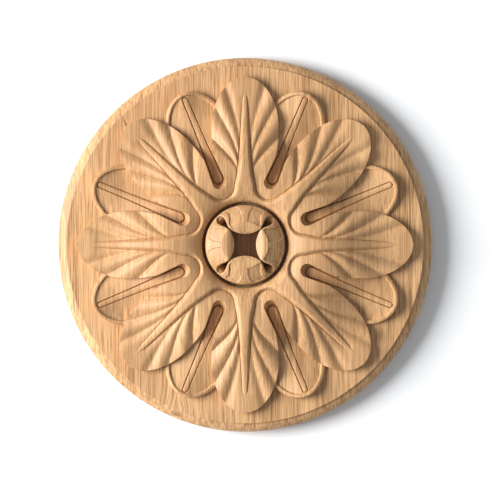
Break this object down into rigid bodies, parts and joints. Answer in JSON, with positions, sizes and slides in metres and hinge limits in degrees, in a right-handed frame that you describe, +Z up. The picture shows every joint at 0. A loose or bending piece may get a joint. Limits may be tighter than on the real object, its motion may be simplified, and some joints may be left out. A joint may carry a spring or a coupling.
{
  "type": "carved rosette",
  "caption": "Round carved wooden rosette with a ring of ribbed petals over a second ring, round a domed bud, on a flat-backed disc.",
  "frame": {"origin": "centre of the flat back face", "axes": "+Y points into the wall or panel behind the rosette, the carved face looks along -Y, +Z is up and the grain runs along Z"},
  "size_m": [0.2, 0.0288, 0.2],
  "materials": {
    "oak": "satin"
  },
  "bodies": {
    "root": {"carved_rosette": "oak"}
  },
  "joints": []
}
